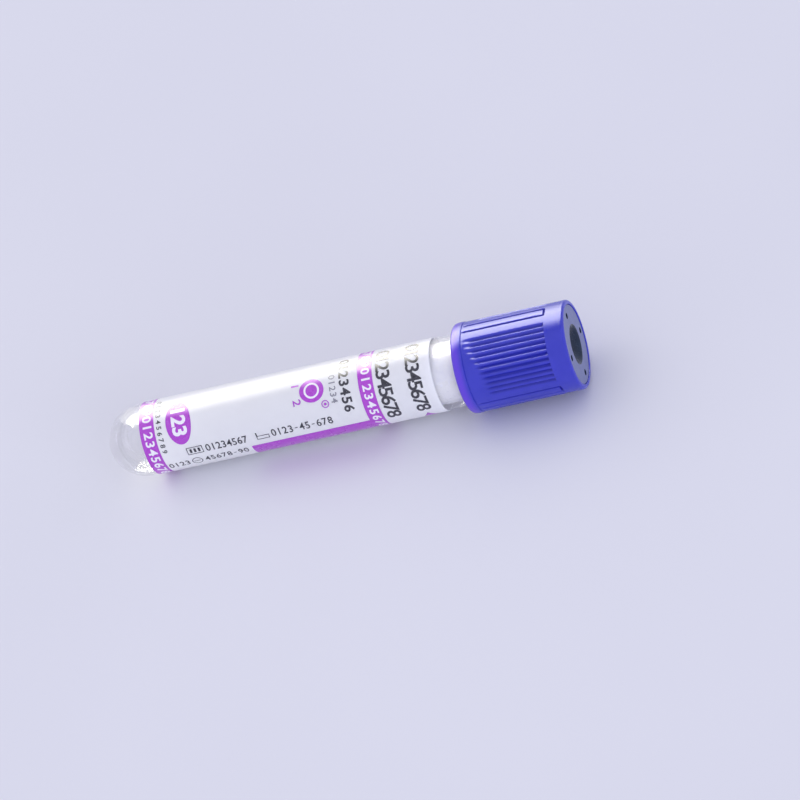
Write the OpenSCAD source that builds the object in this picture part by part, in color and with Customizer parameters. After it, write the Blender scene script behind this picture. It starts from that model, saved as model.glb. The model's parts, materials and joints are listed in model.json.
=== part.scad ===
// Evacuated blood collection tube, lying on its side.
// A clear tube with a round closed end, a wrapped label, a push-on cap with a rubber
// stopper, and the additive dried in drops on the inner wall.
// Every piece is built upright, closed end at z = 0, and then laid down by laid(). It lies with
// the label's clear strip straight down, so that the label's two edges keep it from rolling.

/* [Tube] */
// Outside diameter of the tube
tube_d = 12.5; // [10.5:0.1:16]
// Length of the tube without its cap
tube_len = 75; // [60:1:100]
// Thickness of the side wall
tube_wall = 1.0; // [0.7:0.05:1.4]
// Thickness of the closed end at its middle
tube_bottom = 1.5; // [1:0.1:3]
// Rounding of the mouth's edges
mouth_round = 0.25; // [0.1:0.05:0.3]

/* [Label] */
// Thickness of the label with its adhesive
label_film = 0.16; // [0.05:0.01:0.2]
// Straight wall left clear between the round end and the label
label_clear = 1.5; // [0.5:0.1:10]
// Wall left clear between the label and the cap
neck_len = 4.2; // [1:0.1:20]
// Width of the clear strip between the label's two edges
label_window = 2.4; // [1:0.1:12]

/* [Cap] */
// Length of the cap
cap_len = 20; // [17:0.5:24]
// How far the cap's skirt reaches down over the tube
cap_cover = 10.1; // [8:0.1:12]
// Radial clearance between the tube and the skirt
skirt_gap = 0.35; // [0.3:0.05:0.5]
// Thickness of the skirt at its lip
skirt_wall = 1.25; // [1.2:0.05:1.8]
// How far the radius shrinks from the lip to the end of the cap
cap_taper = 0.15; // [0.1:0.05:0.3]
// Thickness of the rim round the stopper's face
rim_wall = 0.8; // [0.6:0.05:0.95]
// Length of the skirt's lip
lip_len = 1.9; // [1:0.1:3]
// Height of the step between the lip and the grip
lip_step = 0.1; // [0.05:0.05:0.2]
// Rounding of the lip's open edge
lip_round = 0.5; // [0.2:0.05:0.6]
// Rounding of the edge round the stopper's face
top_round = 0.4; // [0.1:0.05:0.5]
// Length of the smooth collar above the grip
collar_len = 3.4; // [2:0.1:4]

/* [Grip] */
// Number of grooved fields round the cap
grip_fields = 3; // [2:1:4]
// Number of grooves in a field
field_grooves = 11; // [5:2:11]
// Angle from one groove to the next
groove_pitch = 7.6; // [6:0.1:7.6]
// Width of a groove, and twice its depth at the collar
groove_w = 0.52; // [0.3:0.02:0.6]
// Smooth length between the lip and where the grooves begin
groove_runout = 1.2; // [0.5:0.1:3]
// Angle across the plain bar between two fields
bar_angle = 12; // [6:1:16]
// Width of the line round the bar
bar_line = 0.28; // [0.2:0.02:0.4]
// Turn of the first field's middle from straight up, towards the viewer
grip_turn = 46; // [-180:0.1:180]

/* [Stopper] */
// Depth of the head's face below the end of the cap
stopper_recess = 0.15; // [0:0.05:0.5]
// Radial clearance between the head and the cap
head_gap = 0.02; // [0.01:0.01:0.1]
// Radial clearance between the plug and the tube's bore
plug_gap = 0.04; // [0.02:0.01:0.1]
// Length of the plug inside the tube
plug_len = 8; // [5:0.5:9]
// Length of the tapered nose of the plug
nose_len = 1; // [0.5:0.1:2]
// Thickness of the rubber wall round the hollow in the plug
plug_wall = 2.0; // [1.5:0.1:2.5]
// Thickness of the rubber that a needle pierces
septum_t = 4.5; // [3:0.1:6]
// Diameter of the dished well in the face
well_d = 6.6; // [4:0.1:7]
// Depth of the dished well
well_depth = 1.6; // [1:0.1:2]
// Number of blind holes in the face
pit_count = 4; // [2:1:6]
// Diameter of a blind hole
pit_d = 1.0; // [0.5:0.05:1.2]
// Depth of a blind hole
pit_depth = 1.2; // [0.5:0.1:2]
// Distance from the edge of the face to the middle of a blind hole
pit_inset = 1.5; // [1.2:0.1:1.8]
// Turn of the first blind hole from straight up, towards the viewer
pit_turn = 66.7; // [-180:0.1:180]
// Height of the ridge in the cap that holds the head
ridge_h = 0.25; // [0.1:0.05:0.3]
// Distance from the end of the cap to that ridge
ridge_depth = 1.75; // [1.2:0.05:2.5]

/* [Additive] */
// Number of dried drops
drop_count = 60; // [10:1:90]
// Diameter of the widest drop
drop_d = 1.0; // [0.6:0.1:1.4]
// Share by which the smallest drop is narrower than the widest
drop_vary = 0.4; // [0:0.05:0.6]
// How far a drop stands out of the wall
drop_h = 0.22; // [0.1:0.02:0.3]
// Length of the sprayed band, measured down from the plug
drop_band = 13; // [5:0.5:30]

/* [Hidden] */
$fn = 96;
eps = 0.01;
far = 200;

tube_r = tube_d / 2;
bore_r = tube_r - tube_wall;
label_r = tube_r + label_film;
label_start = tube_r + label_clear;

skirt_start = tube_len - cap_cover;
label_end = skirt_start - neck_len;
cap_end = skirt_start + cap_len;
skirt_bore_r = tube_r + skirt_gap;
skirt_r = skirt_bore_r + skirt_wall;
top_r = skirt_r - cap_taper;
grip_r = skirt_r - lip_step;
lip_end = skirt_start + lip_len;
groove_start = lip_end + groove_runout;
groove_end = cap_end - collar_len;

pocket_r = top_r - rim_wall;
head_r = pocket_r - head_gap;
face_at = cap_end - stopper_recess;
ridge_at = cap_end - ridge_depth;
plug_r = bore_r - plug_gap;
plug_start = tube_len - plug_len;
hollow_r = plug_r - plug_wall;
hollow_end = face_at - well_depth - septum_t;
well_r = well_d / 2;
well_sphere_r = (well_r * well_r + well_depth * well_depth) / (2 * well_depth);

// The cap's end rests on the round of the lip. The other end rests on the round end of the tube
// or, where the clear strip is narrow, on the label's two edges beside it, which reach down to
// edge_r. Whichever of the two lies lower gives the smaller slope, and that one is the real one.
strip_angle = label_window / label_r * 180 / PI;
edge_r = label_r * cos(strip_angle / 2);
lip_mid = [skirt_start + lip_round, skirt_r - lip_round];
rest_tilt = min(slope_under([tube_r, 0], tube_r), slope_under([label_start, edge_r], 0));
rest_height = max(tube_r * (1 - sin(rest_tilt)),
    edge_r * cos(rest_tilt) - label_start * sin(rest_tilt));
low_x = tube_r * cos(rest_tilt) - tube_r;
high_x = (cap_end - top_round) * cos(rest_tilt) + (top_r - top_round) * sin(rest_tilt)
    + top_round;

// Slope of the line that touches the lip's round and a circle of the given radius round middle.
function slope_under(middle, radius) = let (way = lip_mid - middle)
    atan2(way.y, way.x) - asin((radius - lip_round) / norm(way));

// Lays an upright piece along +X, with the cap's end raised by rest_tilt.
module laid() {
    translate([-(low_x + high_x) / 2, 0, rest_height])
        rotate([0, 90 - rest_tilt, 0])
            children();
}

// Turns an upright piece so that its +X side lies at the given angle from straight up.
module turned(angle) {
    rotate([0, 0, 180 + angle]) children();
}

// Radius of the cap's outside in the grip, at height z.
function grip_radius(z) =
    grip_r + (top_r - grip_r) * (z - lip_end) / (cap_end - lip_end);

module tube() {
    color([0.92, 0.94, 0.97, 0.35]) laid() difference() {
        union() {
            translate([0, 0, tube_r]) sphere(r = tube_r);
            translate([0, 0, tube_r]) cylinder(r = tube_r, h = tube_len - tube_r - mouth_round);
            rotate_extrude() mouth_section();
        }
        translate([0, 0, tube_bottom + bore_r]) {
            sphere(r = bore_r);
            cylinder(r = bore_r, h = tube_len);
        }
    }
}

// The last stretch of the wall, with both edges of the mouth rounded.
module mouth_section() {
    mid = (tube_r + bore_r) / 2;
    low = tube_len - 2 * mouth_round;
    for (side = [0, 1])
        translate([side ? tube_r - mouth_round : bore_r + mouth_round, tube_len - mouth_round])
            circle(r = mouth_round);
    translate([bore_r, low]) square([tube_wall, mouth_round]);
    translate([bore_r + mouth_round, low]) square([tube_wall - 2 * mouth_round, 2 * mouth_round]);
}

// The wrapped film, with its clear strip straight down.
module label() {
    color([0.96, 0.96, 0.98]) laid()
        turned(180 + strip_angle / 2)
            translate([0, 0, label_start])
                rotate_extrude(angle = 360 - strip_angle)
                    translate([tube_r, 0]) square([label_film, label_end - label_start]);
}

// Drops spread by the golden angle round the wall and by another irrational step along it.
module additive() {
    golden = 180 * (3 - sqrt(5));
    size_step = 71;
    color([0.9, 0.93, 0.97, 0.7]) laid() for (i = [0:drop_count - 1]) {
        along = (i * sqrt(2)) % 1;
        rotate([0, 0, i * golden])
            translate([0, 0, plug_start - drop_d - drop_band * along])
                drop(drop_d / 2 * (1 - drop_vary * (1 - sin(i * size_step)) / 2));
    }
}

// One drop at angle 0: a cap of a sphere whose flat side's edge touches the wall.
module drop(half_w) {
    seat = sqrt(bore_r * bore_r - half_w * half_w);
    sphere_r = (half_w * half_w + drop_h * drop_h) / (2 * drop_h);
    difference() {
        translate([seat - drop_h + sphere_r, 0, 0]) sphere(r = sphere_r);
        translate([seat, -drop_d, -drop_d]) cube(2 * drop_d);
    }
}

// Half of the cap's outside, from the lip to the end.
module cap_outline() {
    difference() {
        union() {
            translate([0, skirt_start + lip_round]) square([skirt_r, lip_len - lip_round]);
            translate([0, skirt_start]) square([skirt_r - lip_round, lip_len]);
            translate([skirt_r - lip_round, skirt_start + lip_round]) circle(r = lip_round);
            polygon([
                [0, lip_end], [grip_r, lip_end], [grip_radius(cap_end - top_round), cap_end - top_round],
                [top_r - top_round, cap_end], [0, cap_end]
            ]);
            translate([top_r - top_round, cap_end - top_round]) circle(r = top_round);
        }
        translate([-far, skirt_start - far / 2]) square([far, far]);
    }
}

// One groove at angle 0, full depth at the collar and running out towards the lip.
module groove(width) {
    low = [grip_radius(groove_start) + width / 2, groove_start];
    high = [grip_radius(groove_end), groove_end];
    slope = atan2(low.x - high.x, high.y - low.y);
    translate([high.x, 0, high.y]) rotate([0, 180 - slope, 0])
        cylinder(r = width / 2, h = norm(high - low));
}

// The fine line round a plain bar: two sides and the end beside the collar.
module bar_outline() {
    for (side = [-1, 1]) rotate([0, 0, side * bar_angle / 2]) groove(bar_line);
    rotate([0, 0, -bar_angle / 2])
        rotate_extrude(angle = bar_angle)
            translate([grip_radius(groove_end), groove_end]) circle(r = bar_line / 2);
}

// The body is turned from the line along its top, opposite the one on which its lip rests.
module cap() {
    color([0.30, 0.27, 0.80]) laid() difference() {
        turned(0) rotate_extrude() difference() {
            cap_outline();
            translate([0, skirt_start - eps]) square([skirt_bore_r, cap_cover + 2 * eps]);
            difference() {
                translate([0, tube_len]) square([pocket_r, cap_end]);
                translate([pocket_r, ridge_at]) circle(r = ridge_h);
            }
        }
        for (field = [0:grip_fields - 1]) turned(grip_turn + field * 360 / grip_fields) {
            for (i = [0:field_grooves - 1])
                rotate([0, 0, (i - (field_grooves - 1) / 2) * groove_pitch]) groove(groove_w);
            rotate([0, 0, 180 / grip_fields]) bar_outline();
        }
    }
}

module stopper() {
    color([0.42, 0.45, 0.52]) laid() difference() {
        rotate_extrude() stopper_section();
        translate([0, 0, face_at - well_depth + well_sphere_r]) sphere(r = well_sphere_r);
        for (i = [0:pit_count - 1]) turned(pit_turn + i * 360 / pit_count)
            translate([head_r - pit_inset, 0, face_at - pit_depth])
                cylinder(r = pit_d / 2, h = pit_depth + eps);
    }
}

// Half of the stopper: head, plug with its tapered nose, hollow, and the ridge's groove.
module stopper_section() {
    difference() {
        polygon([
            [hollow_r, plug_start], [plug_r - nose_len / 4, plug_start],
            [plug_r, plug_start + nose_len], [plug_r, tube_len], [head_r, tube_len],
            [head_r, face_at], [0, face_at], [0, hollow_end], [hollow_r, hollow_end]
        ]);
        translate([pocket_r, ridge_at]) circle(r = ridge_h + head_gap);
    }
}

tube();
label();
additive();
cap();
stopper();
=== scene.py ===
"""The looks of a blood collection tube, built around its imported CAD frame.

Lengths are in millimetres until a mesh is made. A point on the object is given by its distance
along the tube from the tip of the round end, its distance from the tube's axis, and its turn
round that axis in degrees from the middle of the label's front, downwards for the camera.
"""

import json
import math
import random

import bmesh
import bpy
from mathutils import Matrix, Vector


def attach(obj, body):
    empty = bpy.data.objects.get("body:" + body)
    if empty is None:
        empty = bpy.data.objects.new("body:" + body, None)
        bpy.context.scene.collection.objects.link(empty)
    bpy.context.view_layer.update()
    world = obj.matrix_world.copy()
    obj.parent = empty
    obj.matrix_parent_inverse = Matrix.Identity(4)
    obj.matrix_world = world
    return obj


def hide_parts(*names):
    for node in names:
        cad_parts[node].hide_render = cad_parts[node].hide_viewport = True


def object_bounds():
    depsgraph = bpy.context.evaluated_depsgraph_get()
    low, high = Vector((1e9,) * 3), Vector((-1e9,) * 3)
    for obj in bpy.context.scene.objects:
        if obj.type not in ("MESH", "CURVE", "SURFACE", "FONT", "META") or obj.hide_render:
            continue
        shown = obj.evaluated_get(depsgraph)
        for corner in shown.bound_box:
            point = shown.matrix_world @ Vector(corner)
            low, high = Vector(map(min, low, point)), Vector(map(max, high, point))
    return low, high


MM = 0.001
FRONT = 43.4  # turn of the label's front from straight up

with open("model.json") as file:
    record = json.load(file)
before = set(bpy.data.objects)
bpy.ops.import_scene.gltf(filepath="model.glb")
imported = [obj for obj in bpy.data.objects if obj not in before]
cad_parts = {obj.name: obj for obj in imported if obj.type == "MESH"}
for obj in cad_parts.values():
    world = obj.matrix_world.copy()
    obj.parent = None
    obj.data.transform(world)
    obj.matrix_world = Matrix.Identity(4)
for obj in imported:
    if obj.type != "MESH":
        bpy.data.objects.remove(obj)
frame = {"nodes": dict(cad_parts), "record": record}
cad_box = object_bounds()
scene = bpy.context.scene
record = frame["record"]

# ------------------------------------------------------------ sizes read from the CAD frame

AXIS = Vector(record["behaviour"]["joints"][0]["axis"]).normalized()
SIDE = Vector((0, 1, 0))
UP = AXIS.cross(SIDE)
ON_AXIS = Vector(next(m for m in record["mounts"] if m["name"] == "labelled_wall")["pos_m"])


def span(node, origin):
    """(start, end, largest radius) of a CAD node along and round the axis, in millimetres."""
    offsets = [v.co - origin for v in frame["nodes"][node].data.vertices]
    along = [o.dot(AXIS) for o in offsets]
    radii = [(o - AXIS * a).length for o, a in zip(offsets, along)]
    return min(along) / MM, max(along) / MM, max(radii) / MM


TIP = ON_AXIS + AXIS * span("tube", ON_AXIS)[0] * MM
_, TUBE_END, TUBE_R = span("tube", TIP)
LABEL_START, LABEL_END, LABEL_R = span("label", TIP)
CAP_START, CAP_END, CAP_R = span("cap", TIP)
PLUG_START, FACE, HEAD_R = span("stopper", TIP)

# ------------------------------------------------------------ sizes the CAD has by name

TUBE_WALL = 1.0
TUBE_BOTTOM = 1.5
MOUTH_ROUND = 0.25
LABEL_WINDOW = 2.4
SKIRT_GAP = 0.35
LIP_STEP = 0.1
LIP_LEN = 1.9
COLLAR_LEN = 3.4
RIM_WALL = 0.8
RIDGE_DEPTH = 1.75
RIDGE_H = 0.25
GRIP_FIELDS = 3
FIELD_GROOVES = 11
GROOVE_PITCH = 7.6
GRIP_MIDDLE = 2.6  # turn of the middle of the first grooved field
WELL_R = 3.3
WELL_DEPTH = 1.6
PIT_COUNT = 4
PIT_DEPTH = 1.2
PIT_INSET = 1.5
PIT_TURN = 23.3  # turn of the first pit
SEPTUM = 4.5
HEAD_GAP = 0.02
PLUG_GAP = 0.04
PLUG_WALL = 2.0

# These two differ a little from the CAD's.
BAR_ANGLE = 13
PIT_R = 0.54

SKIRT_BORE_R = TUBE_R + SKIRT_GAP
POCKET_R = HEAD_R + HEAD_GAP
TOP_R = POCKET_R + RIM_WALL
GRIP_R = CAP_R - LIP_STEP
PIT_RING_R = HEAD_R - PIT_INSET
BORE_R = TUBE_R - TUBE_WALL
PLUG_R = BORE_R - PLUG_GAP
HOLLOW_R = PLUG_R - PLUG_WALL
LIP_END = CAP_START + LIP_LEN
WINDOW_AT = 180 - FRONT  # turn of the label's clear strip, which is straight down
HALF_WINDOW = math.degrees(LABEL_WINDOW / LABEL_R) / 2
WINDOW_EDGES = (WINDOW_AT + HALF_WINDOW - 360, WINDOW_AT - HALF_WINDOW)
GROOVE_END = CAP_END - COLLAR_LEN
RIDGE_AT = CAP_END - RIDGE_DEPTH

# ------------------------------------------------------------ mesh helpers


def outward(turn):
    """The direction straight away from the axis at a turn."""
    angle = math.radians(FRONT + turn)
    return UP * math.cos(angle) - SIDE * math.sin(angle)


def point(along, radius, turn):
    """Where a point given by its three numbers lies, in metres."""
    return TIP + (AXIS * along + outward(turn) * radius) * MM


def along_and_radius(place):
    """How far a place in metres lies along the axis and from it, in millimetres."""
    offset = place - TIP
    along = offset.dot(AXIS) / MM
    return along, (offset - AXIS * along * MM).length / MM


def arc(along, radius, size, start, end, steps=6):
    """Profile points round (along, radius). 0 degrees is outward and 90 towards the cap's end."""
    turns = [math.radians(start + (end - start) * i / steps) for i in range(steps + 1)]
    return [(along + size * math.sin(a), radius + size * math.cos(a)) for a in turns]


def steps_between(start, end, count):
    """Evenly spaced values from start to end, both included."""
    return [start + (end - start) * i / count for i in range(count + 1)]


def make_piece(name, mesh, materials, body, sharp=32):
    """Puts a finished mesh into the scene as a piece that rides on a CAD body.

    Edges that turn by more than sharp degrees stay sharp.
    """
    tidy = bmesh.new()
    tidy.from_mesh(mesh)
    bmesh.ops.recalc_face_normals(tidy, faces=tidy.faces)
    tidy.to_mesh(mesh)
    tidy.free()
    mesh.shade_smooth()
    mesh.set_sharp_from_angle(angle=math.radians(sharp))
    for material in materials:
        mesh.materials.append(material)
    piece = bpy.data.objects.new(name, mesh)
    scene.collection.objects.link(piece)
    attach(piece, body)
    return piece


def revolve(name, profile, turns, whole=True, loop=False, shape=None):
    """A mesh made by turning a profile of (along, radius) round the axis.

    A whole turn joins the last column to the first, and part of a turn gets two end faces. A
    loop joins the profile's last point to its first. shape(along, radius, turn) gives the radius.
    """
    vertices, rings, faces = [], [], []
    for along, radius in profile:
        on_axis = radius < 1e-6
        ring = []
        for turn in turns[:1] if on_axis else turns:
            ring.append(len(vertices))
            vertices.append(point(along, shape(along, radius, turn) if shape else radius, turn))
        rings.append(ring)
    pairs = list(zip(rings, rings[1:]))
    if loop:
        pairs.append((rings[-1], rings[0]))
    for a, b in pairs:
        for i in range(len(turns) if whole else len(turns) - 1):
            j = (i + 1) % len(turns)
            corners = [a[i % len(a)], a[j % len(a)], b[j % len(b)], b[i % len(b)]]
            faces.append(list(dict.fromkeys(corners)))
    if not whole:
        faces += [[ring[0] for ring in rings], [ring[-1] for ring in rings]]
    mesh = bpy.data.meshes.new(name)
    mesh.from_pydata(vertices, [], faces)
    return mesh


def round_turns(count):
    """Columns for one whole turn."""
    return [360 * i / count for i in range(count)]


# ------------------------------------------------------------ materials


def noise_node(tree, size, detail=3, stretch=(1, 1, 1)):
    """Noise with features of about that size in millimetres, fixed to the object."""
    place = tree.nodes.new("ShaderNodeTexCoord")
    mapping = tree.nodes.new("ShaderNodeMapping")
    mapping.inputs["Scale"].default_value = stretch
    noise = tree.nodes.new("ShaderNodeTexNoise")
    noise.inputs["Scale"].default_value = 1 / (size * MM)
    noise.inputs["Detail"].default_value = detail
    tree.links.new(place.outputs["Object"], mapping.inputs["Vector"])
    tree.links.new(mapping.outputs["Vector"], noise.inputs["Vector"])
    return noise.outputs["Fac"]


def ramp_node(tree, factor, low, high, start=0.35, end=0.65):
    """A blend from one colour to another as the factor goes from start to end."""
    ramp = tree.nodes.new("ShaderNodeValToRGB")
    ramp.color_ramp.elements[0].position = start
    ramp.color_ramp.elements[0].color = (*low, 1)
    ramp.color_ramp.elements[1].position = end
    ramp.color_ramp.elements[1].color = (*high, 1)
    tree.links.new(factor, ramp.inputs["Fac"])
    return ramp.outputs["Color"]


def range_node(tree, factor, *limits):
    """Maps a factor's range to another: the limits are from low, from high, to low and to high."""
    mapped = tree.nodes.new("ShaderNodeMapRange")
    for socket, value in zip(("From Min", "From Max", "To Min", "To Max"), limits):
        mapped.inputs[socket].default_value = value
    tree.links.new(factor, mapped.inputs["Value"])
    return mapped


NOISE_SPREAD = (0.3, 0.7)  # most of a noise's values lie between these


def surface(name, colours, colour_size, roughness, grain_size, grain_depth, **sockets):
    """A Principled material whose colour, roughness and fine relief all vary a little.

    Sizes and depth are in millimetres, and roughness is its lowest and highest value.
    """
    material = bpy.data.materials.new(name)
    material.use_nodes = True
    tree = material.node_tree
    shader = tree.nodes["Principled BSDF"]
    for socket, value in sockets.items():
        shader.inputs[socket.replace("_", " ")].default_value = value
    broad = noise_node(tree, colour_size)
    fine = noise_node(tree, grain_size, detail=4)
    bump = tree.nodes.new("ShaderNodeBump")
    bump.inputs["Distance"].default_value = grain_depth * MM
    tree.links.new(fine, bump.inputs["Height"])
    tree.links.new(bump.outputs["Normal"], shader.inputs["Normal"])
    tree.links.new(ramp_node(tree, broad, *colours), shader.inputs["Base Color"])
    rough = range_node(tree, fine, *NOISE_SPREAD, *roughness)
    tree.links.new(rough.outputs["Result"], shader.inputs["Roughness"])
    return material


FILM_GLOSS = dict(Specular_IOR_Level=0.4, Coat_Weight=0.1, Coat_Roughness=0.15)
INK_GLOSS = dict(Specular_IOR_Level=0.6, Coat_Weight=0.6, Coat_Roughness=0.15)


def clear_plastic():
    return surface(
        "clear_plastic", [(0.97, 0.975, 0.985), (0.99, 0.99, 0.995)], 12, (0.0, 0.05), 5, 0.02,
        Transmission_Weight=1.0, IOR=1.57, Alpha=0.25,
    )


def label_film():
    return surface(
        "label_film", [(0.925, 0.925, 0.91), (0.955, 0.955, 0.94)], 6, (0.30, 0.36), 2.5, 0.002,
        Subsurface_Weight=0.9, Subsurface_Scale=0.4 * MM, Subsurface_Radius=(1, 1, 1),
        **FILM_GLOSS,
    )


def ink(name, low, high):
    return surface(name, [low, high], 0.5, (0.24, 0.32), 2.5, 0.002, **INK_GLOSS)


def cap_plastic():
    """Violet blue satin polypropylene, more violet in the thin lip, and with painted shade that
    darkens it towards the bottom of the grooves.
    """
    material = surface(
        "cap_plastic", [(0.032, 0.038, 0.46), (0.039, 0.044, 0.51)], 4, (0.2, 0.27), 0.28, 0.004,
        Subsurface_Weight=0.15, Subsurface_Scale=0.6 * MM, Subsurface_Radius=(0.6, 0.4, 1.0),
        Specular_IOR_Level=0.5,
    )
    tree = material.node_tree
    shader = tree.nodes["Principled BSDF"]
    body_colour = shader.inputs["Base Color"].links[0].from_socket
    # The 'deep' attribute carries painted shade: it darkens the colour towards the bottom of the
    # grooves.
    for attribute, colour in (("thin", (0.12, 0.05, 0.64)), ("deep", (0.018, 0.022, 0.36))):
        amount = tree.nodes.new("ShaderNodeAttribute")
        amount.attribute_name = attribute
        blend = tree.nodes.new("ShaderNodeMix")
        blend.data_type = "RGBA"
        # A Mix node has its factor, A, B and result once for each kind of value.
        factor, low, high = (blend.inputs[i] for i in (0, 6, 7))
        result = blend.outputs[2]
        tree.links.new(amount.outputs["Fac"], factor)
        tree.links.new(body_colour, low)
        high.default_value = (*colour, 1)
        body_colour = result
    tree.links.new(body_colour, shader.inputs["Base Color"])
    return material


def rubber():
    return surface(
        "rubber", [(0.170, 0.190, 0.355), (0.190, 0.215, 0.385)], 1.5, (0.42, 0.55), 0.3, 0.01,
        Specular_IOR_Level=0.4,
    )


def painted_shade_rubber():
    # Rubber darkened to paint the shade of a deep hole into the shallow well and the pits.
    return surface(
        "painted_shade_rubber", [(0.005, 0.014, 0.035), (0.012, 0.028, 0.06)], 2.5, (0.2, 0.3), 0.5, 0.02,
        Specular_IOR_Level=0.35,
    )


def dried_drop():
    return surface(
        "dried_drop", [(0.95, 0.945, 0.94), (0.99, 0.985, 0.98)], 1.0, (0.1, 0.22), 0.4, 0.02,
        Specular_IOR_Level=0.9, Coat_Weight=1.0, Coat_Roughness=0.1,
    )


def additive_haze():
    """The milky film that dried spray leaves on the wall."""
    return surface(
        "additive_haze", [(0.92, 0.92, 0.97), (0.985, 0.985, 0.995)], 1.0, (0.3, 0.5), 0.35, 0.01,
        Alpha=0.95,
    )


# ------------------------------------------------------------ tube, label and their print


def make_tube():
    """The clear wall: the round end, the straight bore and the rounded mouth, as one solid."""
    inner_middle = TUBE_BOTTOM + BORE_R
    mouth = TUBE_END - MOUTH_ROUND
    profile = arc(TUBE_R, 0, TUBE_R, -90, 0, 28)
    profile[0] = (0, 0)
    profile += [(a, TUBE_R) for a in steps_between(TUBE_R, mouth, 12)[1:-1]]
    profile += arc(mouth, TUBE_R - MOUTH_ROUND, MOUTH_ROUND, 0, 90, 5)
    profile += arc(mouth, BORE_R + MOUTH_ROUND, MOUTH_ROUND, 90, 180, 5)
    profile += [(a, BORE_R) for a in steps_between(mouth, inner_middle, 12)[1:-1]]
    profile += arc(inner_middle, 0, BORE_R, 0, -90, 28)
    profile[-1] = (TUBE_BOTTOM, 0)
    mesh = revolve("tube_wall", profile, round_turns(128))
    piece = make_piece("tube_wall", mesh, [clear_plastic()], "tube")
    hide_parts("tube")


# The film's face lies this far under the CAD's radius, so that the print stays inside it.
PRINT_ROOM = 0.03
FILM_R = LABEL_R - PRINT_ROOM


def make_label():
    """The wrapped film, open along the clear strip below."""
    glued_r = TUBE_R - 0.01
    edge = 0.04
    turns = steps_between(*WINDOW_EDGES, 180)
    profile = [(LABEL_START, glued_r), (LABEL_START, FILM_R - edge)]
    profile += arc(LABEL_START + edge, FILM_R - edge, edge, -90, 0, 2)[1:]
    profile += arc(LABEL_END - edge, FILM_R - edge, edge, 0, 90, 2)
    profile += [(LABEL_END, glued_r)]
    mesh = revolve("label_film", profile, turns, whole=False, loop=True)
    piece = make_piece("label_film", mesh, [label_film()], "tube")
    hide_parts("label")


class Print:
    """Flat shapes in one ink, drawn in the label's plane and then wrapped round it.

    x runs along the tube and y round it, both in millimetres, with y at 0 on the label's front.
    """

    STRIP = math.radians(2) * FILM_R
    DIGIT_HEIGHT = 0.682  # of the built-in typeface at size 1

    def __init__(self):
        self.plane = bmesh.new()

    def polygon(self, corners):
        self.plane.faces.new([self.plane.verts.new((x, y, 0)) for x, y in corners])

    def block(self, x0, y0, x1, y1):
        self.polygon([(x0, y0), (x1, y0), (x1, y1), (x0, y1)])

    def oval(self, x, y, half_x, half_y, count=40):
        turns = [math.radians(t) for t in round_turns(count)]
        self.polygon([(x + half_x * math.cos(t), y + half_y * math.sin(t)) for t in turns])

    def ring(self, x, y, radius, width, count=28):
        turns = [math.radians(t) for t in round_turns(count)]
        for t, u in zip(turns, turns[1:] + turns[:1]):
            self.polygon([
                (x + r * math.cos(a), y + r * math.sin(a))
                for r, a in ((radius, t), (radius, u), (radius - width, u), (radius - width, t))
            ])

    def frame(self, x0, y0, x1, y1, width):
        """The outline of a box."""
        self.block(x0, y0, x1, y0 + width)
        self.block(x0, y1 - width, x1, y1)
        self.block(x0, y0 + width, x0 + width, y1 - width)
        self.block(x1 - width, y0 + width, x1, y1 - width)

    def text(self, body, x, y, high, round_tube, wide=1.0, bold=0.008):
        """Plain numbers with their middle at (x, y), read round the tube or along it.

        wide stretches them sideways, and bold thickens their strokes.
        """
        curve = bpy.data.curves.new("text", "FONT")
        curve.body = body
        curve.resolution_u = 3
        curve.offset = bold
        holder = bpy.data.objects.new("text", curve)
        scene.collection.objects.link(holder)
        view = bpy.context.evaluated_depsgraph_get()
        mesh = bpy.data.meshes.new_from_object(holder.evaluated_get(view))
        bpy.data.objects.remove(holder)
        scale = high / self.DIGIT_HEIGHT
        xs = [v.co.x for v in mesh.vertices]
        middle = (min(xs) + max(xs)) / 2
        corners = [
            ((v.co.x - middle) * scale * wide, (v.co.y - self.DIGIT_HEIGHT / 2) * scale)
            for v in mesh.vertices
        ]
        if round_tube:
            placed = [self.plane.verts.new((x + v, y + u, 0)) for u, v in corners]
        else:
            placed = [self.plane.verts.new((x + u, y - v, 0)) for u, v in corners]
        for face in mesh.polygons:
            self.plane.faces.new([placed[i] for i in face.vertices])
        bpy.data.meshes.remove(mesh)

    def wrap(self, name, material, low, top):
        """Cuts the shapes into strips, gives them thickness and bends them round the label.

        low and top are the heights of the ink's two faces over the film's.
        """
        plane = self.plane
        ys = [v.co.y for v in plane.verts]
        for i in range(math.ceil(min(ys) / self.STRIP), math.ceil(max(ys) / self.STRIP)):
            everything = plane.verts[:] + plane.edges[:] + plane.faces[:]
            bmesh.ops.bisect_plane(
                plane, geom=everything, dist=1e-5, plane_co=(0, i * self.STRIP, 0),
                plane_no=(0, 1, 0),
            )
        raised = bmesh.ops.extrude_face_region(plane, geom=plane.faces[:], use_keep_orig=True)
        lifted = {v for v in raised["geom"] if isinstance(v, bmesh.types.BMVert)}
        for v in plane.verts:
            turn = math.degrees(v.co.y / FILM_R)
            v.co = point(v.co.x, FILM_R + (top if v in lifted else low), turn)
        mesh = bpy.data.meshes.new(name)
        plane.to_mesh(mesh)
        plane.free()
        return make_piece(name, mesh, [material], "tube", sharp=50)


def around(turn):
    """Distance round the label, from its front, for a turn in degrees."""
    return math.radians(turn) * FILM_R


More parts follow.
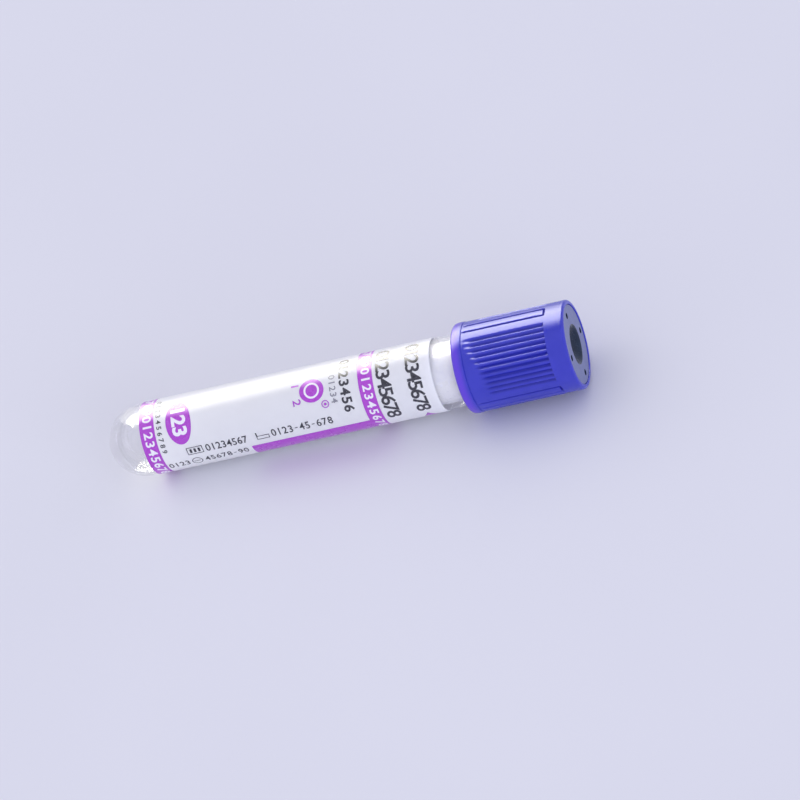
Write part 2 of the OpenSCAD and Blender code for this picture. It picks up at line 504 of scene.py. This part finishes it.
# Where the print lies: distances along the tube in millimetres, and turns in degrees. Digits in a
# column read round the tube, and digits in a row read towards the cap.
DIGITS = "0123456789"
BANDS = ((LABEL_START, LABEL_START + 2.7), (47.8, 50.4))
BAND_TURNS = (WINDOW_EDGES[0] + 0.5, WINDOW_EDGES[1] - 0.5)
BAND_DIGITS = DIGITS[8:] + DIGITS * 2 + DIGITS[0]
BAND_FIRST = -190.1  # turn of a band's first digit
BAND_PITCH = 13.3
STRIPE_START = 26.2
STRIPE_TURNS = (52, 93)
OVAL = (14.9, -15.2)
DISC = (39.4, -18.5)
SMALL_RING = (41.4, 6.5)
ARROW = (50.8, 53.8)
ARROW_TURN = -110
ARROW_HALF = 0.55
UPPER_ROW = 34.8
LOWER_ROW = 58.6
STROKE = 0.12
# Digits, place, turn of the first, turn from one to the next, height, stretch and boldness.
PURPLE_COLUMN = ("12", 36.5, -31, 26.5, 1.35, 1.2, 0.01)
GREY_COLUMN = (DIGITS[:5], 43.15, -33, 9.3, 1.1, 1.1, 0.006)
DARK_COLUMNS = (
    (DIGITS, 11.3, -61.3, 9.7, 0.85, 1.1, 0.012),
    (DIGITS[:7], 45.3, -60, 13.5, 1.65, 1.1, 0.024),
    (DIGITS[:9], 52.3, -59.5, 13.6, 2.35, 1.1, 0.014),
    (DIGITS[:9], 57.6, -59.5, 13.6, 2.35, 1.1, 0.014),
)
# Digits, place of the first, turn, distance from one to the next, height and stretch.
DARK_ROWS = (
    (DIGITS[:8], 18.9, UPPER_ROW, 0.97, 1.4, 0.9),
    ("0123-45-678", 31.0, UPPER_ROW - 0.8, 1.03, 1.4, 0.9),
    (DIGITS[:4], 11.15, LOWER_ROW, 1.0, 1.3, 0.95),
    ("45678-90", 17.8, LOWER_ROW, 1.02, 1.3, 0.95),
)


def print_column(ink_print, digits, x, first, pitch, high, wide, bold):
    for i, digit in enumerate(digits):
        ink_print.text(digit, x, around(first + pitch * i), high, True, wide, bold)


def print_row(ink_print, digits, x, turn, pitch, high, wide):
    """Digits along the tube, with a dash for each hyphen."""
    dash, dash_half = 0.25, 0.07
    row = around(turn)
    for i, digit in enumerate(digits):
        place = x + pitch * i
        if digit == "-":
            ink_print.block(place - dash, row - dash_half, place + dash, row + dash_half)
        else:
            ink_print.text(digit, place, row, high, False, wide)


def print_bands(purple, white):
    """Two purple bands with white digits all round, and a number on an oval beside the first."""
    for start, end in BANDS:
        purple.block(start, around(BAND_TURNS[0]), end, around(BAND_TURNS[1]))
        middle, high = (start + end) / 2 + 0.1, (end - start) * 0.56
        print_column(white, BAND_DIGITS, middle, BAND_FIRST, BAND_PITCH, high, 1.15, 0.022)
    purple.oval(OVAL[0], around(OVAL[1]), 2.3, around(35.4))
    white.text("123", OVAL[0] + 0.05, around(OVAL[1] - 0.1), 2.4, True, 1.05, 0.034)


def print_marks(dark):
    """Two small boxes in the upper row and a ring in the lower one."""
    row = around(UPPER_ROW)
    dark.frame(15.05, row - 0.75, 17.95, row + 0.75, STROKE)
    for i in range(3):
        dark.block(15.55 + 0.75 * i, row - 0.4, 15.95 + 0.75 * i, row + 0.4)
    dark.frame(27.8, row - 0.1, 30.1, row + 0.7, STROKE)
    dark.block(27.8, row - 0.75, 28.0, row - 0.1)
    row = around(LOWER_ROW)
    dark.ring(15.95, row, 0.95, 0.13)
    dark.block(15.35, row - STROKE / 2, 16.55, row + STROKE / 2)


def print_disc(purple, white):
    """A disc with a white ring on it, and a small ring with a dot in it."""
    x, y = DISC[0], around(DISC[1])
    purple.oval(x, y, 2.2, 2.07, 44)
    white.ring(x, y, 1.4, 0.34)
    x, y = SMALL_RING[0], around(SMALL_RING[1])
    purple.ring(x, y, 0.68, 0.16)
    purple.oval(x, y, 0.25, 0.25, 20)


def print_arrows(purple):
    """An arrow towards the cap on the back, and a small triangle below the last column."""
    (tail, tip), row = ARROW, around(ARROW_TURN)
    neck = tip - 1.5
    purple.polygon([
        (tail, row - ARROW_HALF), (neck, row - ARROW_HALF), (neck, row - 2.5 * ARROW_HALF),
        (tip, row), (neck, row + 2.5 * ARROW_HALF), (neck, row + ARROW_HALF),
        (tail, row + ARROW_HALF),
    ])
    purple.polygon([(57.6, around(66)), (58.9, around(86)), (56.3, around(86))])


def make_print():
    """Bands, an oval, a disc and a stripe in purple, with plain numbers and simple marks."""
    purple, dark, white, grey = Print(), Print(), Print(), Print()
    print_bands(purple, white)
    purple.block(STRIPE_START, around(STRIPE_TURNS[0]), BANDS[1][0], around(STRIPE_TURNS[1]))
    print_disc(purple, white)
    print_arrows(purple)
    print_marks(dark)
    print_column(purple, *PURPLE_COLUMN)
    print_column(grey, *GREY_COLUMN)
    for column in DARK_COLUMNS:
        print_column(dark, *column)
    for row in DARK_ROWS:
        print_row(dark, *row)

    thick = PRINT_ROOM / 2
    purple.wrap("print_purple", ink("ink_purple", (0.40, 0.035, 0.54), (0.44, 0.045, 0.58)),
                -thick, thick)
    dark.wrap("print_dark", ink("ink_dark", (0.012, 0.012, 0.02), (0.03, 0.03, 0.045)),
              -thick, thick)
    grey.wrap("print_grey", ink("ink_grey", (0.2, 0.2, 0.23), (0.26, 0.26, 0.3)), -thick, thick)
    # The white lies over the purple.
    white.wrap("print_white", ink("ink_white", (0.85, 0.83, 0.87), (0.9, 0.88, 0.91)),
               thick * 0.2, 2 * thick)


# ------------------------------------------------------------ cap


GROOVE_MIDDLE = 0.6  # how far the grooves' middle lies beyond the middle between two bars
GROOVE_HALF = 0.46
GROOVE_DEPTH = 0.36
GROOVE_CURVE = 0.6  # 0 for flat walls that meet at a crease and 1 for round ones
GROOVE_START = LIP_END + 0.1
RUNOUT_SLANT = 1.6  # how much further from the lip the last groove of a field starts
GROOVE_FADE = 2.4  # the lengths in which the grooves and the lines reach their depth
LINE_FADE = 1.0
LINE_HALF = 0.25
LINE_DEPTH = 0.4
LIP_ROUND = 0.6
TOP_ROUND = 0.5
SMALL_ROUND = 0.1
LIP_BULGE = 0.05  # how far the lip's crest stands out over its rounded edge

# Outline of the lip's crest and of its step, as distances from the lip's end and below CAP_R.
LIP_CREST = (
    (-1.0, 0.008), (-0.7, 0.003), (-0.4, 0.008), (-0.14, 0.025), (-0.06, 0.045), (-0.01, 0.10),
)
# The seam beside it, below GRIP_R.
SEAM = ((0.03, 0.07), (0.07, 0.05), (0.11, 0.01))

# Extra rows and columns of vertices beside the fine lines, in millimetres from a line's middle,
# and columns on either side of a line that runs along the cap, in degrees from it.
LINE_ROWS = (-0.15, -0.1, -0.05, -0.001, 0.001, 0.05, 0.1, 0.15, 0.2, 0.25)
LINE_COLUMNS = (-0.26, -0.2, -0.15, -0.1, -0.05, 0, 0.05, 0.1, 0.15, 0.2, 0.26)
BAR_COLUMNS = (-8.8, -6.2, -3.4, 2.7, 4.7, 6.75)
GROOVE_COLUMNS = 14  # across each groove and the land beside it


def smooth(value):
    """A smooth step from 0 to 1."""
    value = min(1, max(0, value))
    return value * value * (3 - 2 * value)


def field_turns():
    """The middle of each grooved field."""
    return [GRIP_MIDDLE + 360 * i / GRIP_FIELDS for i in range(GRIP_FIELDS)]


def grip_shape(along, radius, turn):
    """The cap's radius with its grooves, and with the fine line round each plain bar.

    The inside and the rim's face stay round.
    """
    if radius < TOP_R - 0.1 or not LIP_END < along < GROOVE_END + LINE_HALF:
        return radius
    field = min(field_turns(), key=lambda f: abs((turn - f + 180) % 360 - 180))
    offset = (turn - field + 180) % 360 - 180
    half_field = 180 / GRIP_FIELDS
    across = math.radians(1) * radius
    start = GROOVE_START + RUNOUT_SLANT * smooth(0.5 + offset / half_field)
    fade = smooth((along - start) / GROOVE_FADE) if along < GROOVE_END else 0
    depth = 0
    nearest = round((offset - GROOVE_MIDDLE) / GROOVE_PITCH)
    if abs(nearest) <= (FIELD_GROOVES - 1) / 2:
        aside = abs(offset - GROOVE_MIDDLE - nearest * GROOVE_PITCH) * across
        wall = max(0, 1 - aside / GROOVE_HALF)
        curved = (1 - GROOVE_CURVE) * wall + GROOVE_CURVE * smooth(wall)
        depth = GROOVE_DEPTH * fade * curved
    to_line = (half_field - BAR_ANGLE / 2 - abs(offset)) * across
    beside = abs(to_line)
    if along < GROOVE_END:
        fade = smooth((along - LIP_END) / LINE_FADE)
        depth = max(depth, LINE_DEPTH * fade * (1 - smooth(beside / LINE_HALF)))
    if to_line < LINE_HALF:
        beside = math.hypot(max(0, to_line), along - GROOVE_END)
        depth = max(depth, LINE_DEPTH * (1 - smooth(beside / LINE_HALF)))
    return radius - depth


def grip_columns():
    """Columns close together where the grooves and lines need them."""
    across = math.radians(1) * GRIP_R
    turns = []
    for field in field_turns():
        for i in range(FIELD_GROOVES):
            start = field + GROOVE_MIDDLE + (i - FIELD_GROOVES / 2) * GROOVE_PITCH
            turns += steps_between(start, start + GROOVE_PITCH, GROOVE_COLUMNS)
        line = 180 / GRIP_FIELDS - BAR_ANGLE / 2
        for side in (-1, 1):
            turns += [field + side * (line + aside / across) for aside in LINE_COLUMNS]
            turns += [field + side * (line + aside) for aside in BAR_COLUMNS]
    return sorted({round(t % 360, 4) for t in turns})


def grip_rows():
    """Places along the grip, close together where the grooves run out and at the line's end."""
    runout_start, runout_end = LIP_END + 0.16, GROOVE_START + RUNOUT_SLANT + GROOVE_FADE
    rows = steps_between(runout_start, runout_end, 20)
    rows += steps_between(runout_end, GROOVE_END - 0.2, 8)[1:]
    rows += [GROOVE_END + aside for aside in LINE_ROWS]
    return rows + steps_between(GROOVE_END + 0.35, CAP_END - TOP_ROUND - 0.15, 6)


def thin_amount(along):
    """1 at the cap's open edge, where the lip is thinnest, and 0 beyond the seam."""
    return smooth((LIP_END + 0.1 - along) / 1.2)


def groove_shade_amount(along, radius):
    """How much painted shade darkens the colour: 0 on the grip's outside and 1 at the bottom of
    its grooves.
    """
    on_grip = LIP_END + 0.2 < along < CAP_END - 1 and radius > TOP_R - 0.7
    return smooth((GRIP_R - 0.09 - radius) / 0.24) if on_grip else 0


def store(mesh, name, values):
    """Gives each vertex a value that the material reads."""
    mesh.attributes.new(name, "FLOAT", "POINT").data.foreach_set("value", values)


def make_cap():
    """One moulding: convex lip, seam, grooved grip, smooth collar, rim, pocket and skirt."""
    slope = (TOP_R - GRIP_R) / (CAP_END - LIP_END)
    side = CAP_R - LIP_BULGE
    small = SMALL_ROUND
    profile = arc(CAP_START + small, SKIRT_BORE_R + small, small, 180, 270, 3)
    profile += arc(CAP_START + LIP_ROUND, side - LIP_ROUND, LIP_ROUND, -90, 0, 10)
    profile += [(LIP_END + a, CAP_R - below) for a, below in LIP_CREST]
    profile += [(LIP_END + a, GRIP_R - below) for a, below in SEAM]
    profile += [(a, GRIP_R + slope * (a - LIP_END)) for a in grip_rows()]
    profile += arc(CAP_END - TOP_ROUND, TOP_R - TOP_ROUND, TOP_ROUND, 0, 90, 8)
    profile += arc(CAP_END - small, POCKET_R + small, small, 90, 180, 4)
    profile += arc(RIDGE_AT, POCKET_R, RIDGE_H, 90, 270, 8)
    profile += [(TUBE_END + 0.01, POCKET_R), (TUBE_END, POCKET_R - 0.01), (TUBE_END, SKIRT_BORE_R)]
    profile += [(a, SKIRT_BORE_R) for a in steps_between(TUBE_END - 0.05, CAP_START + 0.5, 6)]
    mesh = revolve("cap", profile, grip_columns(), loop=True, shape=grip_shape)
    places = [along_and_radius(v.co) for v in mesh.vertices]
    store(mesh, "thin", [thin_amount(along) for along, _ in places])
    # Painted shade, strongest at the bottom of the grooves.
    store(mesh, "deep", [groove_shade_amount(along, radius) for along, radius in places])
    piece = make_piece("push_cap", mesh, [cap_plastic()], "closure")
    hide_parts("cap")


# ------------------------------------------------------------ stopper and additive


def cut_pits(piece):
    """Sinks the blind holes into the stopper's face."""
    cutter = bmesh.new()
    for i in range(PIT_COUNT):
        middle = point(FACE, PIT_RING_R, PIT_TURN + i * 360 / PIT_COUNT)
        place = Matrix.Translation(middle) @ AXIS.to_track_quat("Z", "Y").to_matrix().to_4x4()
        bmesh.ops.create_cone(
            cutter, cap_ends=True, segments=32, radius1=PIT_R * MM, radius2=PIT_R * MM,
            depth=2 * PIT_DEPTH * MM, matrix=place,
        )
    mesh = bpy.data.meshes.new("pits")
    cutter.to_mesh(mesh)
    cutter.free()
    tool = bpy.data.objects.new("pits", mesh)
    scene.collection.objects.link(tool)
    cut = piece.modifiers.new("pits", "BOOLEAN")
    cut.operation = "DIFFERENCE"
    cut.solver = "EXACT"
    cut.object = tool
    view = bpy.context.evaluated_depsgraph_get()
    result = bpy.data.meshes.new_from_object(piece.evaluated_get(view))
    piece.modifiers.clear()
    piece.data = result
    bpy.data.objects.remove(tool)


NUB_H = 0.35  # the moulding's gate mark in the middle of the well
NUB_R = 0.62
NUB_SLOPE = 0.5
BRIM = 0.5  # width of the round edge between the well and the face
HEAD_ROUND = 0.16
PLUG_ROUND = 0.3
PLUG_TAPER = 0.25
HOLLOW_ROUND = 0.15


def make_stopper():
    """One rubber moulding: dished face, head with its groove, plug with its hollow."""
    bottom = FACE - WELL_DEPTH
    bowl_r = (WELL_R**2 + WELL_DEPTH**2) / (2 * WELL_DEPTH)
    bowl_turn = math.degrees(math.asin((WELL_R - BRIM * 0.7) / bowl_r))
    groove = RIDGE_H + HEAD_GAP
    groove_turn = math.degrees(math.acos((HEAD_R - POCKET_R) / groove))
    hollow_end = bottom - SEPTUM
    profile = arc(bottom + bowl_r, 0, bowl_r, -90, bowl_turn - 90, 18)
    deep, wide = profile[-1]
    for i in range(1, 7):
        way = i / 6
        rise = (FACE - deep) * (1 - (1 - way) ** 2)
        profile.append((deep + rise, wide + (WELL_R + BRIM * 0.6 - wide) * way))
    # The gate mark takes the place of the bowl's first points.
    profile[:3] = [
        (bottom + rise + NUB_H * smooth((NUB_R - r) / NUB_SLOPE), r)
        for rise, r in ((0, 0), (0, 0.12), (0, 0.25), (0.01, 0.37), (0.02, 0.5), (0.03, 0.64))
    ]
    profile += [(FACE, r) for r in steps_between(WELL_R + BRIM, HEAD_R - HEAD_ROUND - 0.04, 8)]
    profile += arc(FACE - HEAD_ROUND, HEAD_R - HEAD_ROUND, HEAD_ROUND, 90, 0, 6)
    profile += arc(RIDGE_AT, POCKET_R, groove, groove_turn, 360 - groove_turn, 8)
    profile += [(TUBE_END, HEAD_R), (TUBE_END, PLUG_R), (PLUG_START + 1, PLUG_R)]
    tip_r = PLUG_R - PLUG_ROUND - PLUG_TAPER
    profile += arc(PLUG_START + PLUG_ROUND, tip_r, PLUG_ROUND, 10, -90, 5)
    hollow_r = HOLLOW_R + HOLLOW_ROUND
    profile += arc(PLUG_START + HOLLOW_ROUND, hollow_r, HOLLOW_ROUND, -90, -180, 3)
    profile += [(hollow_end, HOLLOW_R), (hollow_end, 0)]
    mesh = revolve("stopper", profile, round_turns(112))
    materials = [rubber(), painted_shade_rubber()]
    piece = make_piece("rubber_stopper", mesh, materials, "closure")
    cut_pits(piece)
    # Painted shade: the well and the pits get a darker rubber than the face, the gate mark and the
    # head's outside, standing in for the shade of a deep hole.
    for face in piece.data.polygons:
        along, radius = along_and_radius(face.center)
        sunk = bottom - 0.1 < along < FACE - 0.02
        face.material_index = int(sunk and 0.5 < radius < HEAD_R - 0.3)
    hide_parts("stopper")


# How many drops there are in the spray all round, on the neck's front and in the crust low on the
# near side, and where they lie along the tube and round it.
SPRAY_COUNT = 230
SPRAY_LENGTH = 12
SPRAY_TURNS = (75, 300)
NECK_COUNT = 12
NECK_ALONG = (60.6, 64.8)
NECK_TURNS = (-70, 30)
CRUST_COUNT = 420
CRUST_ALONG = (60.4, 66.2)
CRUST_TURNS = (22, 64)
HAZE_THICK = 0.02


def add_drop(drops, along, turn, width, height):
    """One dried drop: a dome that sits a little way into the bore's wall."""
    rings, sides, sunk = 3, 10, 0.03
    middle = point(along, BORE_R + sunk, turn)
    inward = (point(along, 0, turn) - middle).normalized()
    across = AXIS.cross(inward)
    layers = []
    for i in range(rings):
        rise = math.radians(90 * i / rings)
        layers.append([
            drops.verts.new(
                middle
                + (AXIS * math.cos(a) + across * math.sin(a)) * (width / 2 * math.cos(rise) * MM)
                + inward * ((sunk + height) * math.sin(rise) * MM)
            )
            for a in (math.radians(360 * k / sides) for k in range(sides))
        ])
    top = drops.verts.new(middle + inward * (sunk + height) * MM)
    drops.faces.new(layers[0])
    for low, high in zip(layers, layers[1:]):
        for k in range(sides):
            drops.faces.new([low[k], low[(k + 1) % sides], high[(k + 1) % sides], high[k]])
    for k in range(sides):
        drops.faces.new([layers[-1][k], layers[-1][(k + 1) % sides], top])


def make_additive():
    """Dried spray on the bore: drops, and the thin haze between them."""
    rng = random.Random(11)
    drops = bmesh.new()
    highest = PLUG_START - 0.6
    for _ in range(SPRAY_COUNT):
        along = highest - SPRAY_LENGTH * rng.random() ** 1.4
        turn = rng.uniform(*SPRAY_TURNS)
        width = rng.uniform(0.25, 0.75)
        add_drop(drops, along, turn, width, width * rng.uniform(0.15, 0.3))
    for _ in range(NECK_COUNT):
        width = rng.uniform(0.2, 0.35)
        along = rng.uniform(*NECK_ALONG)
        add_drop(drops, along, rng.uniform(*NECK_TURNS), width, width * 0.3)
    for _ in range(CRUST_COUNT):
        width = rng.uniform(0.25, 0.6)
        turn = rng.uniform(*CRUST_TURNS) + rng.gauss(0, 4)
        add_drop(drops, rng.uniform(*CRUST_ALONG), turn, width, width * 0.35)
    mesh = bpy.data.meshes.new("additive")
    drops.to_mesh(mesh)
    drops.free()
    piece = make_piece("dried_additive", mesh, [dried_drop()], "tube", sharp=60)
    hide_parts("additive")
    start, end, face = LABEL_END - 3.5, PLUG_START - 0.3, BORE_R - HAZE_THICK
    profile = [(start, BORE_R), (end, BORE_R), (end, face), (start, face)]
    haze = revolve("additive_haze", profile, round_turns(96), loop=True)
    make_piece("additive_haze", haze, [additive_haze()], "tube")


# ------------------------------------------------------------ floor, light and camera


def sheet(name, width, depth, material):
    """A flat stage piece in the XY plane, facing +Z."""
    mesh = bpy.data.meshes.new(name)
    x, y = width / 2, depth / 2
    mesh.from_pydata([(-x, -y, 0), (x, -y, 0), (x, y, 0), (-x, y, 0)], [], [(0, 1, 2, 3)])
    mesh.materials.append(material)
    piece = bpy.data.objects.new(name, mesh)
    scene.collection.objects.link(piece)
    return piece


def make_floor():
    material = surface(
        "floor", [(0.742, 0.742, 0.782), (0.763, 0.763, 0.80)], 120, (0.9, 0.95), 40, 0.0,
        Specular_IOR_Level=0.0,
    )
    sheet("floor", 8, 8, material)


PANEL_TURN = -91  # where the panel and the lamps stand: their turn and their lean to the cap
PANEL_LEAN = -0.2
PANEL_DISTANCE = 0.45
PANEL_SIZE = (0.9, 0.6)
# Where each soft edge of the panel starts and ends, and how bright it is there.
PANEL_UPPER = (-0.3, -0.08, 0.3, 1)
PANEL_LOWER = (0.07, 0.29, 11, 0)
KEY_TURN = -70
KEY_LEAN = -0.5
FILL_TURN = 36
FILL_LEAN = 0.9
LAMP_DISTANCE = 1.6


def facing_tube(turn, lean, distance):
    """The matrix of a stage piece that faces the tube from a turn, leaning towards the cap."""
    direction = (outward(turn) + AXIS * lean).normalized()
    middle = (cad_box[0] + cad_box[1]) / 2
    facing = direction.to_track_quat("Z", "X").to_matrix().to_4x4()
    return Matrix.Translation(middle + direction * distance) @ facing


def make_panel():
    """A bright panel seen only in reflections: the broad highlight along the tube."""
    material = bpy.data.materials.new("panel")
    material.use_nodes = True
    tree = material.node_tree
    tree.nodes.clear()
    place = tree.nodes.new("ShaderNodeTexCoord")
    split = tree.nodes.new("ShaderNodeSeparateXYZ")
    tree.links.new(place.outputs["Object"], split.inputs["Vector"])
    strength = tree.nodes.new("ShaderNodeMath")
    strength.operation = "MULTIPLY"
    for i, limits in enumerate((PANEL_UPPER, PANEL_LOWER)):
        edge = range_node(tree, split.outputs["X"], *limits)
        edge.interpolation_type = "SMOOTHSTEP"
        tree.links.new(edge.outputs["Result"], strength.inputs[i])
    glow = tree.nodes.new("ShaderNodeEmission")
    glow.inputs["Color"].default_value = (1.0, 0.98, 0.88, 1)
    output = tree.nodes.new("ShaderNodeOutputMaterial")
    tree.links.new(strength.outputs["Value"], glow.inputs["Strength"])
    tree.links.new(glow.outputs["Emission"], output.inputs["Surface"])
    panel = sheet("panel", *PANEL_SIZE, material)
    panel.matrix_world = facing_tube(PANEL_TURN, PANEL_LEAN, PANEL_DISTANCE)
    panel.visible_camera = False
    panel.visible_diffuse = False
    panel.visible_transmission = False
    panel.visible_shadow = False


def make_lamp(name, turn, lean, size, energy, colour):
    """A soft square lamp that shows in no reflection."""
    data = bpy.data.lights.new(name, "AREA")
    data.shape = "SQUARE"
    data.size = size
    data.energy = energy
    data.color = colour
    lamp = bpy.data.objects.new(name, data)
    scene.collection.objects.link(lamp)
    lamp.matrix_world = facing_tube(turn, lean, LAMP_DISTANCE)
    lamp.visible_glossy = False


def make_world():
    """A pale sky that the camera sees a little darker than it shines."""
    world = bpy.data.worlds.new("world")
    scene.world = world
    world.use_nodes = True
    tree = world.node_tree
    light = tree.nodes["Background"]
    light.inputs["Color"].default_value = (0.83, 0.84, 1.0, 1)
    light.inputs["Strength"].default_value = 0.88
    seen = tree.nodes.new("ShaderNodeBackground")
    seen.inputs["Color"].default_value = (0.73, 0.73, 0.86, 1)
    path = tree.nodes.new("ShaderNodeLightPath")
    mix = tree.nodes.new("ShaderNodeMixShader")
    tree.links.new(path.outputs["Is Camera Ray"], mix.inputs["Fac"])
    tree.links.new(light.outputs["Background"], mix.inputs[1])
    tree.links.new(seen.outputs["Background"], mix.inputs[2])
    tree.links.new(mix.outputs["Shader"], tree.nodes["World Output"].inputs["Surface"])


CAMERA_TURN = 21.5  # degrees round +Z, from straight in front towards the cap
ELEVATION = 45
ROLL = 26.9  # degrees
DISTANCE = 0.758  # metres from the aim
LENS = 200
AIM_HEIGHT = 7.5  # millimetres over the origin
FRAME_SHIFT = (10.1, -0.83)  # how far the aim lies right of and above the middle, in the picture


def make_camera():
    turn, rise, roll = (math.radians(a) for a in (CAMERA_TURN, ELEVATION, ROLL))
    level = Vector((math.cos(turn), math.sin(turn), 0))
    outwards = Vector((math.sin(turn), -math.cos(turn), 0))
    back = outwards * math.cos(rise) + Vector((0, 0, math.sin(rise)))
    upright = back.cross(level)
    right = level * math.cos(roll) - upright * math.sin(roll)
    top = level * math.sin(roll) + upright * math.cos(roll)
    aim = Vector((0, 0, AIM_HEIGHT)) + right * FRAME_SHIFT[0] + top * FRAME_SHIFT[1]
    data = bpy.data.cameras.new("camera")
    data.lens = LENS
    data.sensor_width = 36
    data.clip_end = 20
    camera = bpy.data.objects.new("camera", data)
    scene.collection.objects.link(camera)
    facing = Matrix((right, top, back)).transposed().to_4x4()
    camera.matrix_world = Matrix.Translation(aim * MM + back * DISTANCE) @ facing
    scene.camera = camera


make_tube()
make_label()
make_print()
make_cap()
make_stopper()
make_additive()
make_floor()
make_panel()
make_lamp("key", KEY_TURN, KEY_LEAN, 1.5, 5.0, (1.0, 0.97, 0.90))
make_lamp("fill", FILL_TURN, FILL_LEAN, 1.2, 12.0, (0.80, 0.84, 1.0))
make_world()
make_camera()
scene.view_settings.view_transform = "Standard"
